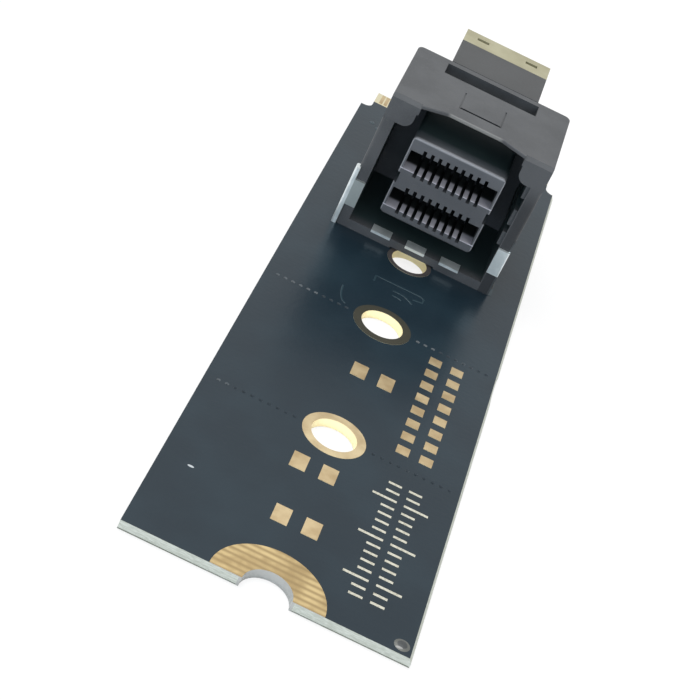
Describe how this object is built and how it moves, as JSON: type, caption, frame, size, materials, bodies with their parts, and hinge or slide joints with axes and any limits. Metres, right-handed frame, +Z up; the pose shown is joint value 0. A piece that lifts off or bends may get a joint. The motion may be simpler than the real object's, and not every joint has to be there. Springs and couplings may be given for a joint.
{
  "type": "nvme adapter card",
  "caption": "Flat edge-connector drive adapter card with a right-angle cable receptacle, a plated screw notch and plated mounting holes.",
  "frame": {"origin": "under the middle of the board, in the plane of its underside", "axes": "+Y from the screw notch towards the gold edge, +X to the right of that, +Z up out of the side that carries the receptacle"},
  "size_m": [0.022, 0.08, 0.0149],
  "materials": {
    "board": "satin blue-black solder mask on glass laminate",
    "gold": "thin gold over nickel and copper",
    "dull_gold": "gold dulled by a skin of mask",
    "tin": "satin tin solder",
    "ink": "matt cream ink",
    "housing": "fine matt moulding",
    "wafer": "matt moulding",
    "clip": "satin natural moulding",
    "tinned_steel": "satin tin plate",
    "contact_gold": "gold on stamped copper alloy"
  },
  "bodies": {
    "root": {"circuit_board": "board", "edge_fingers_top": "gold", "edge_fingers_bottom": "gold", "notch_plating": "gold", "corner_tin_spot": "tin", "plated_hole_60mm": "gold", "plated_hole_42mm": "dull_gold", "plated_hole_30mm": "gold", "contact_pads": "gold", "hold_down_pads": "gold", "test_pads": "gold", "spare_footprints": "gold", "legend_ticks": "ink", "connector_housing": "housing", "rear_clip": "clip", "hold_down_left": "tinned_steel", "hold_down_right": "tinned_steel", "floor_tab_left": "tinned_steel", "floor_tab_middle": "tinned_steel", "floor_tab_right": "tinned_steel", "contact_wafer_1": "wafer", "wafer_contacts_1": "contact_gold", "contact_wafer_2": "wafer", "wafer_contacts_2": "contact_gold", "contact_wafer_3": "wafer", "wafer_contacts_3": "contact_gold", "contact_wafer_4": "wafer", "wafer_contacts_4": "contact_gold", "contact_wafer_5": "wafer", "wafer_contacts_5": "contact_gold", "contact_wafer_6": "wafer", "wafer_contacts_6": "contact_gold", "contact_wafer_7": "wafer", "wafer_contacts_7": "contact_gold", "contact_wafer_8": "wafer", "wafer_contacts_8": "contact_gold", "contact_wafer_9": "wafer", "wafer_contacts_9": "contact_gold"}
  },
  "joints": []
}
